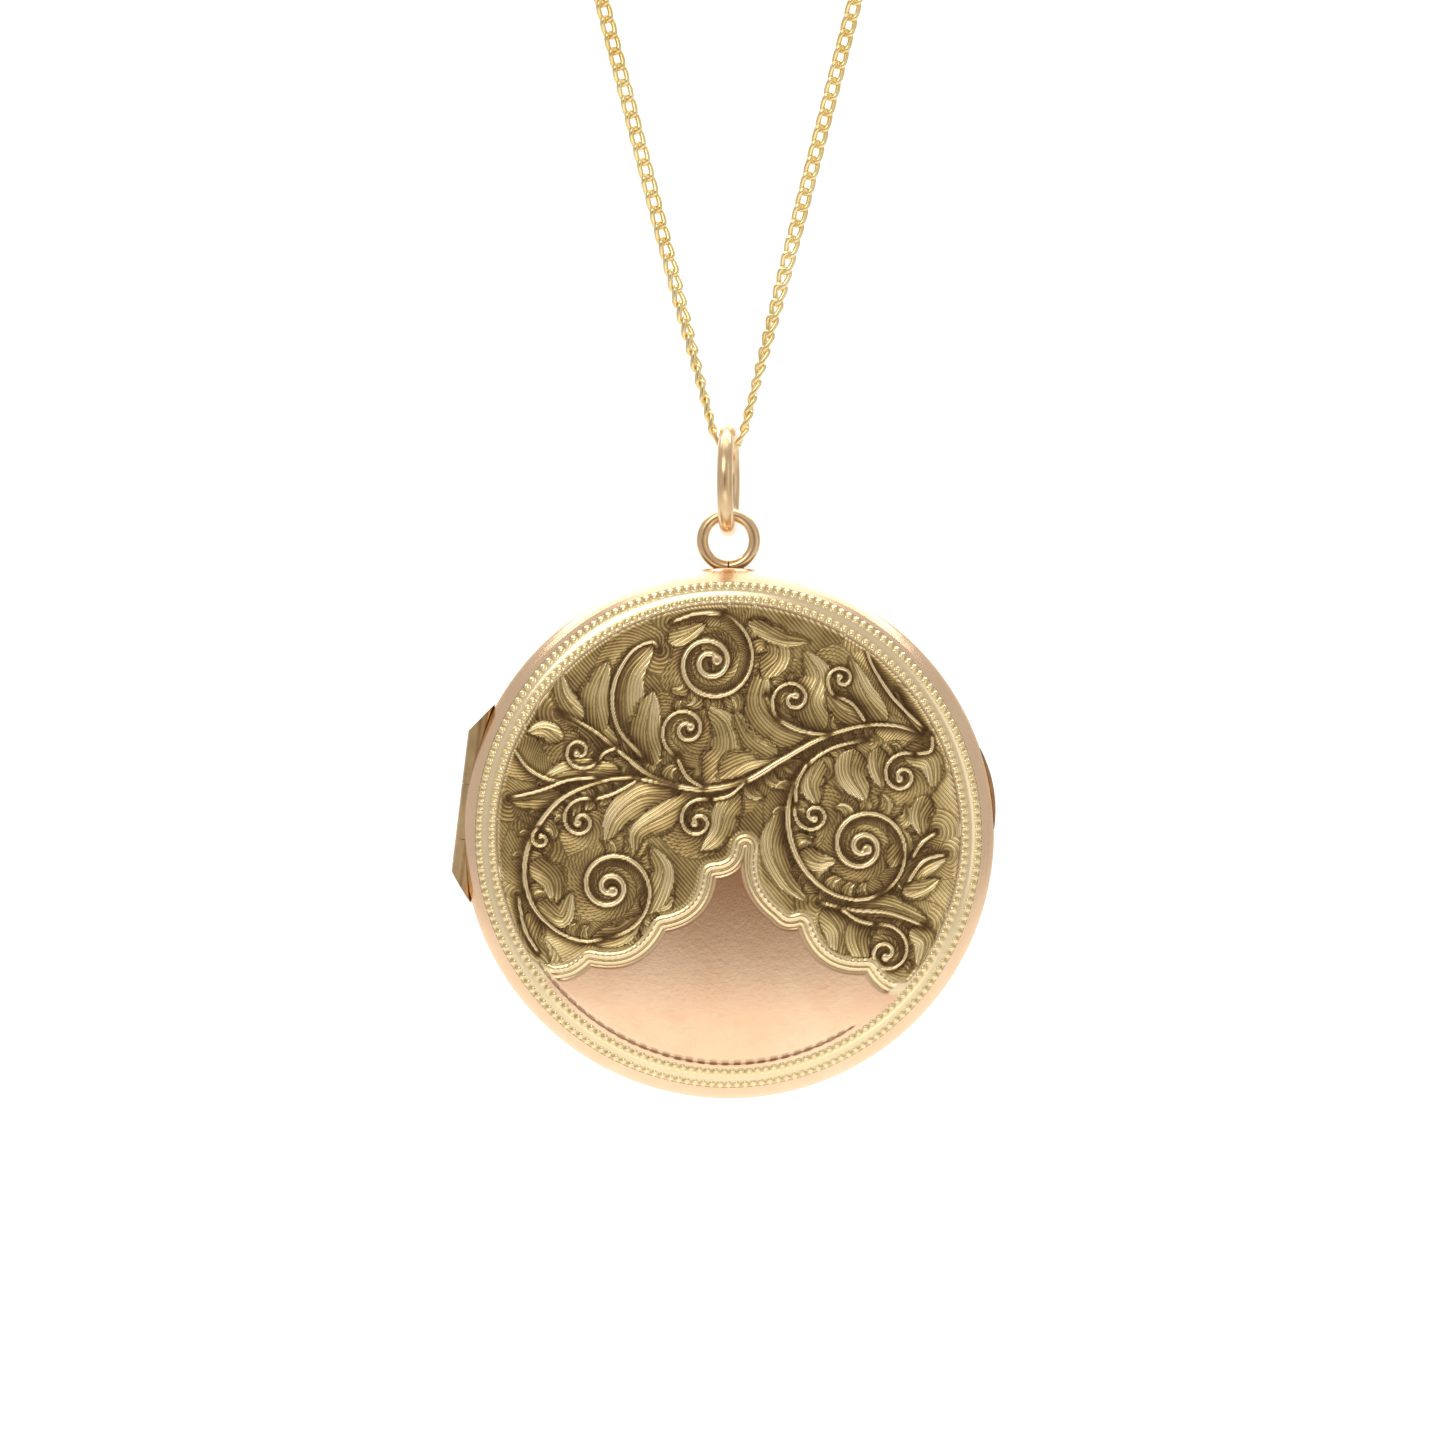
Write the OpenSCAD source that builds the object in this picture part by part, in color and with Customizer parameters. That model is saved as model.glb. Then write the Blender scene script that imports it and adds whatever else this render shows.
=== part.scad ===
// A round two-cover locket on a fine neck chain, hanging from a peg.
// +Z is up, the decorated front faces -Y, and the origin is the crown of the peg.
// The closed case lies in the XZ plane. Both covers meet at its seam.

/* [Case] */
// Outer diameter of the closed case
case_d = 32; // [28:1:40]
// Thickness of the sheet that the covers are pressed from
wall = 0.45; // [0.35:0.05:0.5]
// Rise of the front cover's dome above its border
front_rise = 1.15; // [0.6:0.05:1.6]
// Rise of the back cover's dome above its border
back_rise = 0.6; // [0.4:0.05:1]
// Radius of the flat centre of the back cover
back_flat_r = 11; // [8:0.5:11.5]
// How far the seam lies in front of the eyelet and the chain
seam_forward = 0.55; // [0.45:0.05:0.8]
// Angle of the thumb lip above level, on the right
lip_angle = 10; // [0:1:20]

/* [Hinge] */
// Angle of the hinge above level, on the left
hinge_angle = 7; // [0:1:12]
// Outer diameter of the hinge barrel
barrel_d = 1.4; // [1.3:0.02:1.44]
// Diameter of the hinge pin
pin_d = 0.6; // [0.5:0.02:0.7]
// Length of the hinge at the case, ends included
hinge_l = 13.4; // [12:0.2:14]
// Length of the hinge along its outermost line
hinge_top_l = 8.2; // [6:0.2:9]
// Top of the centre knuckle, measured from the middle of the hinge
knuckle_top = 1.05; // [0.8:0.05:2]
// Bottom of the centre knuckle, measured from the middle of the hinge
knuckle_bottom = -2.25; // [-3:0.05:-1]

/* [Photo rims] */
// Width of the lip that each rim holds over its crystal
photo_lip_w = 1.1; // [0.8:0.1:2]
// Thickness of each crystal
crystal_t = 0.12; // [0.08:0.01:0.14]
// Thickness of each photo
photo_t = 0.08; // [0.05:0.01:0.09]

/* [Eyelet and jump ring] */
// Outer diameter of the eyelet
eyelet_d = 3.85; // [3.6:0.05:4.2]
// Diameter of the eyelet's wire
eyelet_wire_d = 0.72; // [0.6:0.02:0.76]
// Outer diameter of the jump ring
jump_ring_d = 6.8; // [6:0.1:8]
// Diameter of the jump ring's wire
jump_ring_wire_d = 0.95; // [0.8:0.05:0.95]
// Turn of the jump ring about the vertical
jump_ring_turn = -4.5; // [-5:0.5:5]

/* [Chain and clasp] */
// Diameter of the tube that stands for the chain
chain_d = 0.6; // [0.5:0.05:0.65]
// Radius from the centre of the clasp to the middle of its tube
clasp_r = 1.95; // [1.9:0.05:2.2]
// Outer diameter of the clasp's tube
clasp_tube_d = 1; // [0.96:0.02:1.04]
// Diameter of the clasp's sliding bolt
bolt_d = 0.56; // [0.5:0.02:0.58]
// Angle of the clasp above level, on the right shoulder of the peg
clasp_angle = 38; // [34:1:42]

/* [Hidden] */

$fn = 96;

// Clearance between parts that hang on each other
play = 0.05;
// Clearance between the hinge barrel and the cover that turns past it
barrel_play = 0.06;
// Half of the gap between two knuckles
knuckle_gap = 0.02;
// Clearance between the pin and the centre knuckle
pin_play = 0.03;
// Half of the gap between the two covers
seam = 0.03;

case_r = case_d / 2;
hinge_r = case_r - 0.4;
border_h = 1.66;
field_r = case_r - 2;
field_h = 2.02;
rim_r = case_r - 0.5;
snap_r = case_r - 1;
snap_top = 0.7;
snap_wall = 0.5;
photo_seat_r = field_r - 0.3;
photo_r = photo_seat_r - photo_lip_w;
lip_h = 0.22;

// The peg's radius, and the route of the chain round it and down to the jump ring.
// Each entry is [x, z]. The chain starts at the clasp's left ring, passes over the
// crown, runs down on the left, turns under the jump ring and climbs on the right.
peg_r = 7.7;
chain_low = -36.95;
chain_route = [
    [3.15, 0.8], [2.1, 0.6], [1.05, 0.42], [0, 0.3], [-1.4, 0.2], [-2.7, -0.15],
    [-4, -0.75], [-5.2, -1.6], [-6.2, -2.65], [-7, -3.8], [-7.55, -5.1],
    [-7.9, -6.4], [-8, -7.7], [-7.95, -8.8], [-7.75, -9.7], [-0.87, -36.3],
    [-0.65, -36.7], [-0.35, -36.9], [0, chain_low], [0.35, -36.9], [0.65, -36.7],
    [0.87, -36.3], [7.75, -9.7], [8.05, -8.5], [8.2, -7.2], [8.25, -5.55]
];
chain_step = 1.5;
chain_sides = 8;

// Heights that follow from the way each piece hangs on the one above it
ring_wire_r = jump_ring_wire_d / 2;
ring_mid_r = jump_ring_d / 2 - ring_wire_r;
ring_hole_r = jump_ring_d / 2 - jump_ring_wire_d;
ring_z = chain_low + chain_d / 2 + play - ring_hole_r;
eyelet_wire_r = eyelet_wire_d / 2;
eyelet_mid_r = eyelet_d / 2 - eyelet_wire_r;
eyelet_hole_r = eyelet_d / 2 - eyelet_wire_d;
eyelet_z = ring_z - ring_hole_r + play - eyelet_hole_r;
eyelet_above = case_r + 1.65;
case_z = eyelet_z - eyelet_above;

// The clasp's mouth, its bolt and the slot of its trigger, as angles round the clasp
mouth_from = 25;
mouth_to = 70;
bolt_from = 17;
bolt_to = 110;
trigger_at = 95;
bolt_travel = 55;
slot_margin = 6.5;
bore_r = bolt_d / 2 + 0.06;
spring_from = 168;
spring_to = 330;
spring_turns = 12;
end_wire_r = 0.2;

function unit(v) = v / norm(v);
function reversed(list) = [for (i = [len(list) - 1:-1:0]) list[i]];

// Points every chain_step or so along a route of straight stretches
function resampled(route, step) = concat(
    [for (i = [0:len(route) - 2])
        let (a = route[i], b = route[i + 1], n = max(1, round(norm(b - a) / step)))
            for (k = [0:n - 1]) a + (b - a) * k / n],
    [route[len(route) - 1]]
);

// Direction of travel at point i
function heading(points, i) =
    unit(points[min(i + 1, len(points) - 1)] - points[max(i - 1, 0)]);

// A round tube swept along points. Each side vector is square to its stretch.
module swept_tube(points, side_vectors, r, sides) {
    last = len(points) - 1;
    rings = [for (i = [0:last])
        let (t = heading(points, i), u = unit(cross(t, side_vectors[i])), v = cross(u, t))
            for (k = [0:sides - 1])
                points[i] + r * (cos(360 * k / sides) * u + sin(360 * k / sides) * v)];
    walls = [for (i = [0:last - 1], k = [0:sides - 1])
        let (a = i * sides + k, b = i * sides + (k + 1) % sides)
            [a, b, b + sides, a + sides]];
    start_cap = [[for (k = [sides - 1:-1:0]) k]];
    end_cap = [[for (k = [0:sides - 1]) last * sides + k]];
    polyhedron(points = rings, faces = concat(start_cap, walls, end_cap), convexity = 6);
}

// A ring of round wire in the XY plane
module wire_ring(mid_r, wire_r) {
    rotate_extrude() translate([mid_r, 0]) circle(r = wire_r, $fn = 32);
}

// Places a child drawn on the seam plane, with +Z towards the front and +Y upwards
module on_case() {
    translate([0, -seam_forward, case_z]) rotate([90, 0, 0]) children();
}

// Places a child on the hinge's axis, with +Y along the axis and +X into the case
module at_hinge() {
    rotate([0, 0, -hinge_angle]) translate([-hinge_r, 0, 0]) children();
}

// Places a child on the clasp, with +X down the peg's shoulder and +Z away from it
module on_clasp() {
    clasp_mid = peg_r + clasp_tube_d / 2;
    clasp_x = clasp_mid * cos(clasp_angle);
    clasp_z = clasp_mid * sin(clasp_angle) - peg_r;
    translate([clasp_x, 0, clasp_z]) rotate([0, 90 - clasp_angle, 0]) children();
}

// Barrel of the hinge between two places along its axis
module barrel(r, from, to) {
    translate([0, from, 0]) rotate([-90, 0, 0]) cylinder(r = r, h = to - from);
}

// The hinge's ends are filed down so that they run into the case
module filed_ends() {
    inner = 1.2;
    outer = barrel_d / 2 + 0.1;
    translate([0, 0, -1]) linear_extrude(2) polygon([
        [-outer, -hinge_top_l / 2], [-outer, hinge_top_l / 2],
        [inner, hinge_l / 2], [inner, -hinge_l / 2]
    ]);
}

// Room for the hinge in a cover: outer_r at both outer knuckles, centre_r between them
module hinge_room(outer_r, centre_r) {
    at_hinge() {
        barrel(outer_r, knuckle_top, hinge_l / 2);
        barrel(outer_r, -hinge_l / 2, knuckle_bottom);
        barrel(centre_r, knuckle_bottom - knuckle_gap, knuckle_top + knuckle_gap);
    }
}

// One knuckle, bored for the pin
module knuckle(from, to, bore) {
    on_case() at_hinge() difference() {
        intersection() {
            barrel(barrel_d / 2, from, to);
            filed_ends();
        }
        barrel(bore, from - 1, to + 1);
    }
}

// Rolled edge and border of a cover, outside and inside, as [radius, height]
edge_outside = [
    [case_r, seam], [case_r, 0.35], [case_r - 0.04, 0.52], [case_r - 0.14, 0.7],
    [case_r - 0.3, 0.95], [case_r - 0.55, 1.25], [case_r - 0.8, 1.5],
    [snap_r, border_h], [field_r + 0.2, field_h - 0.04]
];
edge_inside = [
    [rim_r, seam], [rim_r, 0.65], [rim_r - 0.2, 0.8], [snap_r, 0.8],
    [snap_r, 1.12], [snap_r - 0.25, 1.24], [field_r + 0.05, field_h - wall - 0.05]
];

// Domed field of a cover, from the border to its centre
function field(rise, flat_r, depth) = concat(
    [for (i = [0:10])
        let (r = field_r + (flat_r - field_r) * i / 10, s = (r - flat_r) / (field_r - flat_r))
            [r, field_h - depth + rise * (1 - s * s)]],
    flat_r > 0 ? [[0, field_h - depth + rise]] : []
);

// A pressed cover, drawn from the seam upwards
module pressed_cover(rise, flat_r) {
    rotate_extrude($fn = 180) polygon(concat(
        edge_outside, field(rise, flat_r, 0),
        reversed(field(rise, flat_r, wall)), reversed(edge_inside)
    ));
}

// Rim that holds one photo: a band against the cover and a lip over the crystal
module photo_rim(band_r, face, back) {
    lip = face + lip_h;
    rotate_extrude($fn = 180) polygon([
        [photo_r, face + 0.06], [photo_r + 0.06, face], [band_r - 0.05, face],
        [band_r, face + 0.05], [band_r, back - 0.08], [band_r - 0.2, back],
        [photo_seat_r, back], [photo_seat_r, lip], [photo_r, lip]
    ]);
}

// Crystal under the lip of the rim whose face lies at the given height
module crystal(face) {
    translate([0, 0, face + lip_h]) cylinder(r = photo_seat_r - 0.05, h = crystal_t);
}

// Photo behind the crystal of the same rim
module photo(face) {
    translate([0, 0, face + lip_h + crystal_t]) cylinder(r = photo_seat_r - 0.1, h = photo_t);
}

back_photo_face = 0.1;
front_photo_face = 0.8;

// Chain and clasp

module neck_chain() {
    flat = resampled(chain_route, chain_step);
    points = [for (p = flat) [p[0], 0, p[1]]];
    sides = [for (p = flat) [0, 1, 0]];
    color("gold") swept_tube(points, sides, chain_d / 2, chain_sides);
}

module end_ring_right() {
    mid_r = 0.95;
    reach = mid_r - end_wire_r - clasp_tube_d / 2 - 0.04;
    color("gold") on_clasp() translate([clasp_r, 0, 0]) rotate([0, 20, 0])
        translate([reach, 0, 0]) rotate([90, 0, 0]) wire_ring(mid_r, end_wire_r);
}

module end_ring_left() {
    mid_r = 0.8;
    reach = mid_r - 2 * end_wire_r - 0.04;
    color("gold") on_clasp() translate([-eye_far, 0, 0]) rotate([0, -25, 0])
        translate([-reach, 0, 0]) rotate([90, 0, 0]) wire_ring(mid_r, end_wire_r);
}

module clasp_case() {
    color("goldenrod") on_clasp() difference() {
        rotate([0, 0, mouth_to]) rotate_extrude(angle = 360 - mouth_to + mouth_from)
            translate([clasp_r, 0]) difference() {
                circle(d = clasp_tube_d, $fn = 48);
                circle(r = bore_r, $fn = 48);
            }
        rotate([0, 0, trigger_at - slot_margin])
            rotate_extrude(angle = bolt_travel + 2 * slot_margin)
                translate([clasp_r, -0.25]) square([1, 0.5]);
    }
}

eye_mid_r = 0.6;
eye_x = clasp_r + 1.15;
eye_far = eye_x + eye_mid_r;

module clasp_eye() {
    color("goldenrod") on_clasp() translate([-eye_x, 0, 0]) wire_ring(eye_mid_r, end_wire_r);
}

module clasp_bolt() {
    color("gold") on_clasp() rotate([0, 0, bolt_from])
        rotate_extrude(angle = bolt_to - bolt_from)
            translate([clasp_r, 0]) circle(d = bolt_d, $fn = 48);
}

module clasp_trigger() {
    stem_from = clasp_r + bolt_d / 2 - 0.05;
    stem_to = clasp_r + clasp_tube_d / 2 + 0.4;
    color("gold") on_clasp() rotate([0, 0, trigger_at]) {
        translate([stem_from, 0, 0]) rotate([0, 90, 0])
            cylinder(r = 0.2, h = stem_to - stem_from, $fn = 32);
        translate([stem_to, 0, 0]) sphere(r = 0.32, $fn = 32);
    }
}

// The spring is drawn at its shortest, as it lies when the bolt is drawn back
module clasp_spring() {
    coil_r = 0.22;
    steps = spring_turns * 8;
    turn = [for (i = [0:steps]) 360 * i / 8];
    along = [for (i = [0:steps]) spring_from + (spring_to - spring_from) * i / steps];
    out = [for (i = [0:steps])
        [cos(turn[i]) * cos(along[i]), cos(turn[i]) * sin(along[i]), sin(turn[i])]];
    points = [for (i = [0:steps])
        [clasp_r * cos(along[i]), clasp_r * sin(along[i]), 0] + coil_r * out[i]];
    color("silver") on_clasp() swept_tube(points, out, 0.05, 5);
}

// Jump ring and eyelet

module jump_ring() {
    color("goldenrod") translate([0, 0, ring_z]) rotate([0, 0, jump_ring_turn])
        rotate([0, 90, 0]) wire_ring(ring_mid_r, ring_wire_r);
}

module eyelet() {
    slit = 0.1;
    color("goldenrod") on_case() translate([0, eyelet_above, -seam_forward]) difference() {
        wire_ring(eyelet_mid_r, eyelet_wire_r);
        translate([-slit / 2, -eyelet_d, -1]) cube([slit, eyelet_d, 2]);
    }
}

// Back half

module back_cover() {
    color("peru") on_case() difference() {
        mirror([0, 0, 1]) pressed_cover(back_rise, back_flat_r);
        hinge_room(barrel_d / 2, barrel_d / 2 + barrel_play);
    }
}

module back_snap_rim() {
    inner = snap_r - play - snap_wall;
    outer = snap_r - play;
    color("khaki") on_case() difference() {
        rotate_extrude($fn = 180) polygon([
            [inner, -0.78], [outer, -0.78], [outer, -0.5], [rim_r, -0.5],
            [rim_r, -seam], [outer, -seam], [outer, snap_top - 0.1],
            [outer - 0.1, snap_top], [inner + 0.1, snap_top], [inner, snap_top - 0.1]
        ]);
        hinge_room(barrel_d / 2 + barrel_play, barrel_d / 2 + barrel_play);
    }
}

module back_photo_rim() {
    color("khaki") on_case() mirror([0, 0, 1])
        photo_rim(snap_r - play - snap_wall, back_photo_face, back_photo_face + 0.5);
}

module back_crystal() {
    color("azure") on_case() mirror([0, 0, 1]) crystal(back_photo_face);
}

module back_photo() {
    color("antiquewhite") on_case() mirror([0, 0, 1]) photo(back_photo_face);
}

module hinge_knuckle_upper() {
    color("sienna") knuckle(knuckle_top + knuckle_gap, hinge_l / 2, pin_d / 2);
}

module hinge_knuckle_lower() {
    color("sienna") knuckle(-hinge_l / 2, knuckle_bottom - knuckle_gap, pin_d / 2);
}

module hinge_pin() {
    color("saddlebrown") on_case() at_hinge() intersection() {
        barrel(pin_d / 2, -hinge_l / 2, hinge_l / 2);
        filed_ends();
    }
}

// Front half

module front_cover() {
    color("darkgoldenrod") on_case() difference() {
        pressed_cover(front_rise, 0);
        hinge_room(barrel_d / 2 + barrel_play, barrel_d / 2);
    }
}

module front_snap_rim() {
    color("khaki") on_case() difference() {
        rotate_extrude($fn = 180) polygon([
            [snap_r, 0.12], [snap_r + 0.07, 0.05], [rim_r, 0.05], [rim_r, 0.65], [snap_r, 0.65]
        ]);
        hinge_room(barrel_d / 2 + barrel_play, barrel_d / 2 + barrel_play);
    }
}

module hinge_knuckle_centre() {
    color("sienna")
        knuckle(knuckle_bottom + knuckle_gap, knuckle_top - knuckle_gap, pin_d / 2 + pin_play);
}

module thumb_lip() {
    reach = 0.2;
    base = 0.05;
    thickness = 0.4;
    crescent_r = case_r / 2;
    color("peru") on_case() rotate([0, 0, lip_angle]) translate([0, 0, base]) difference() {
        translate([case_r + reach - crescent_r, 0, 0]) cylinder(r = crescent_r, h = thickness);
        translate([0, 0, -1]) cylinder(r = case_r, h = 2, $fn = 180);
    }
}

module front_photo_rim() {
    color("khaki") on_case() photo_rim(snap_r, front_photo_face, front_photo_face + 0.4);
}

module front_crystal() {
    color("azure") on_case() crystal(front_photo_face);
}

module front_photo() {
    color("antiquewhite") on_case() photo(front_photo_face);
}

neck_chain();
end_ring_left();
end_ring_right();
clasp_case();
clasp_eye();
clasp_bolt();
clasp_trigger();
clasp_spring();
jump_ring();
eyelet();
back_cover();
back_snap_rim();
back_photo_rim();
back_crystal();
back_photo();
hinge_knuckle_upper();
hinge_knuckle_lower();
hinge_pin();
front_cover();
front_snap_rim();
hinge_knuckle_centre();
thumb_lip();
front_photo_rim();
front_crystal();
front_photo();
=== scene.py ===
import math

import bmesh
import bpy
import numpy as np
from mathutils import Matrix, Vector


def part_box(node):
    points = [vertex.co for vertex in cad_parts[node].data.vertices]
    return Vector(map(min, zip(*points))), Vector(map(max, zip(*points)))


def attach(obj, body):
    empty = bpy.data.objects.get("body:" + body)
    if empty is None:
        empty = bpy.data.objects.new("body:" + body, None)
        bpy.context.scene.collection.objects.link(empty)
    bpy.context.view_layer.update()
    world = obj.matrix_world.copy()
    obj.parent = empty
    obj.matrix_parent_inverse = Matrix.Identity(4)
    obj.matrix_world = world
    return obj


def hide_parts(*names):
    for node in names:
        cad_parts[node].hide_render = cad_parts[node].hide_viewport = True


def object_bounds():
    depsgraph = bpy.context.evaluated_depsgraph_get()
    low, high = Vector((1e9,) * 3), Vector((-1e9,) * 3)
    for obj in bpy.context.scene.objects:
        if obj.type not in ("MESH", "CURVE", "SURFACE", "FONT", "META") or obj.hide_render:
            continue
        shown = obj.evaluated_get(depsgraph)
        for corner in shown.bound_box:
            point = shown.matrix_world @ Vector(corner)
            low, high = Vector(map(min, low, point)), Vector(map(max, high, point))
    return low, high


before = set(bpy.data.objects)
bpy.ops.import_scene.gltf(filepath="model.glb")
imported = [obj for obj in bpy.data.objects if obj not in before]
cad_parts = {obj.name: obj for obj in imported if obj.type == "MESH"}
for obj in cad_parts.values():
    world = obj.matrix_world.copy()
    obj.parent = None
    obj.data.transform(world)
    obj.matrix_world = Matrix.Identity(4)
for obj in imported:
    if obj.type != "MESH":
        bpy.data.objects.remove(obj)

# A round gold locket that hangs from a fine neck chain. +Z is up, and the decorated front
# faces -Y. Lengths are in metres, apart from names that end in _mm or _MM and the sections on
# the decoration and the bead border, which are in millimetres.

MM = 0.001
cad_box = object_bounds()

# Places taken from the frame
crystal_low, crystal_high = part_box("front_crystal")
CASE_X = (crystal_low[0] + crystal_high[0]) / 2
CASE_Z = (crystal_low[2] + crystal_high[2]) / 2
CASE_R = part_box("back_snap_rim")[1][2] - CASE_Z + 0.5 * MM
SEAM_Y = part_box("front_cover")[1][1] + 0.03 * MM
FIELD_R_MM = CASE_R / MM - 2.0

# The front cover as in the CAD model: the height above the seam of its band, by the distance
# in from the case's edge, and how far the dome rises inside the band
BAND_INSETS_MM = [0.8, 1.0, 1.8, 2.0]
BAND_HEIGHTS_MM = [1.5, 1.66, 1.98, 2.02]
DOME_RISE_MM = 1.15


# Camera

SENSOR_WIDTH = 36
VIEW_WIDTH = 86.27 * MM
VIEW_DISTANCE = 300 * MM
VIEW_ELEVATION = math.radians(2.5)
VIEW_TARGET = Vector((CASE_X - 0.36 * MM, SEAM_Y - 2.5 * MM, CASE_Z + 6.81 * MM))


def make_camera():
    data = bpy.data.cameras.new("camera")
    data.sensor_width = SENSOR_WIDTH
    data.lens = SENSOR_WIDTH * VIEW_DISTANCE / VIEW_WIDTH
    data.clip_start = 0.01
    data.clip_end = 10
    camera = bpy.data.objects.new("camera", data)
    bpy.context.scene.collection.objects.link(camera)
    back = Vector((0, -math.cos(VIEW_ELEVATION), math.sin(VIEW_ELEVATION)))
    camera.location = VIEW_TARGET + back * VIEW_DISTANCE
    camera.rotation_euler = back.to_track_quat("Z", "Y").to_euler()
    bpy.context.scene.camera = camera


# Mesh helpers

def new_piece(name, vertices, faces, smooth=True):
    mesh = bpy.data.meshes.new(name)
    mesh.from_pydata([tuple(v) for v in vertices], [], [tuple(f) for f in faces])
    mesh.validate()
    mesh.update()
    if smooth:
        mesh.polygons.foreach_set("use_smooth", [True] * len(mesh.polygons))
    piece = bpy.data.objects.new(name, mesh)
    bpy.context.scene.collection.objects.link(piece)
    return piece


def grid_faces(rows, columns, close_rows=False, close_columns=False):
    """Quads of a grid whose vertices run row by row."""
    row = np.arange(rows if close_rows else rows - 1)
    column = np.arange(columns if close_columns else columns - 1)
    r, c = np.meshgrid(row, column, indexing="ij")
    r2 = (r + 1) % rows
    c2 = (c + 1) % columns
    quads = [r * columns + c, r * columns + c2, r2 * columns + c2, r2 * columns + c]
    return np.stack(quads, axis=-1).reshape(-1, 4).tolist()


def case_point(x_mm, z_mm, height_mm):
    """A point on the case from its place on the face and its height above the seam."""
    return (CASE_X + x_mm * MM, SEAM_Y - height_mm * MM, CASE_Z + z_mm * MM)


def add_attribute(piece, name, values):
    layer = piece.data.attributes.new(name, "FLOAT", "POINT")
    layer.data.foreach_set("value", np.asarray(values, dtype=np.float32))


def smooth_curve(points, per_stretch):
    """Catmull-Rom curve through given points."""
    p = [np.array(q, dtype=float) for q in points]
    p = [2 * p[0] - p[1]] + p + [2 * p[-1] - p[-2]]
    out = []
    for i in range(1, len(p) - 2):
        a, b, c, d = p[i - 1], p[i], p[i + 1], p[i + 2]
        for k in range(per_stretch):
            t = k / per_stretch
            out.append(0.5 * (2 * b + (c - a) * t + (2 * a - 5 * b + 4 * c - d) * t * t
                              + (3 * b - a - 3 * c + d) * t ** 3))
    out.append(p[-2])
    return np.array(out)


# Chain

# The route of part.scad, as (x, z) in metres
CHAIN_ROUTE = [
    (0.00315, 0.0008), (0.0021, 0.0006), (0.00105, 0.00042), (0, 0.0003),
    (-0.0014, 0.0002), (-0.0027, -0.00015), (-0.004, -0.00075), (-0.0052, -0.0016),
    (-0.0062, -0.00265), (-0.007, -0.0038), (-0.00755, -0.0051), (-0.0079, -0.0064),
    (-0.008, -0.0077), (-0.00795, -0.0088), (-0.00775, -0.0097), (-0.00087, -0.0363),
    (-0.00065, -0.0367), (-0.00035, -0.0369), (0, -0.03695), (0.00035, -0.0369),
    (0.00065, -0.0367), (0.00087, -0.0363), (0.00775, -0.0097), (0.00805, -0.0085),
    (0.0082, -0.0072), (0.00825, -0.00555),
]
LINK_PITCH = 0.98 * MM
LINK_HALF_LENGTH = 0.61 * MM
# Half width, twist and wire radius of a link
LINK_SIZES = (0.32 * MM, 0.15 * MM, 0.165 * MM)
# Power below 1 that makes a link a rounded oblong rather than an ellipse
LINK_SQUARENESS = 0.8
LINK_STEPS = 20
WIRE_SIDES = 8
# The links lie flat to the front from the shoulder down to FLAT_FROM_Z. They turn edge-on
# again by EDGE_ON_BELOW_Z, and above the shoulder over SHOULDER_TURN.
FLAT_FROM_Z = -0.022
EDGE_ON_BELOW_Z = -0.0345
SHOULDER_Z = -0.0085
SHOULDER_TURN = 0.004
# The links inside the jump ring are slimmer, so that the ring can rock on them
RING_LINKS_BELOW_Z = -0.0358
RING_LINK_SIZES = (0.19 * MM, 0.08 * MM, 0.13 * MM)


def along_route(route, step):
    """Points about a step apart, an even number of steps in all, and the whole length."""
    p = np.array([(x, 0.0, z) for x, z in route])
    leg = np.linalg.norm(np.diff(p, axis=0), axis=1)
    reach = np.concatenate([[0], np.cumsum(leg)])
    count = 2 * int(round(reach[-1] / step / 2))
    at = np.linspace(0, reach[-1], count + 1)
    points = np.stack([np.interp(at, reach, p[:, k]) for k in range(3)], axis=1)
    return points, reach[-1]


def link_turn(z):
    """Turn of a link about the chain: 0 lies flat to the front, a quarter turn is edge-on."""
    if z > SHOULDER_Z:
        return math.pi / 2 * min(1, (z - SHOULDER_Z) / SHOULDER_TURN)
    if z > FLAT_FROM_Z:
        return 0
    return math.pi / 2 * min(1, (FLAT_FROM_Z - z) / (FLAT_FROM_Z - EDGE_ON_BELOW_Z))


def link_rings(middle, along, turn, sizes):
    """Vertices of one twisted curb link round its middle."""
    half_width, twist, wire_r = sizes
    side = along.cross(Vector((0, 1, 0))).normalized()
    face = side.cross(along).normalized()
    wide = side * math.cos(turn) + face * math.sin(turn)
    thick = along.cross(wide)
    centre = []
    for i in range(LINK_STEPS):
        t = 2 * math.pi * i / LINK_STEPS
        cx = math.copysign(abs(math.cos(t)) ** LINK_SQUARENESS, math.cos(t))
        cz = math.copysign(abs(math.sin(t)) ** LINK_SQUARENESS, math.sin(t))
        centre.append(middle + along * (LINK_HALF_LENGTH * cx) + wide * (half_width * cz)
                      + thick * (twist * math.sin(2 * t)))
    rings = []
    for i in range(LINK_STEPS):
        tangent = (centre[(i + 1) % LINK_STEPS] - centre[i - 1]).normalized()
        u = tangent.cross(thick).normalized()
        v = u.cross(tangent)
        for k in range(WIRE_SIDES):
            a = 2 * math.pi * k / WIRE_SIDES
            rings.append(centre[i] + (u * math.cos(a) + v * math.sin(a)) * wire_r)
    return rings


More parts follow.
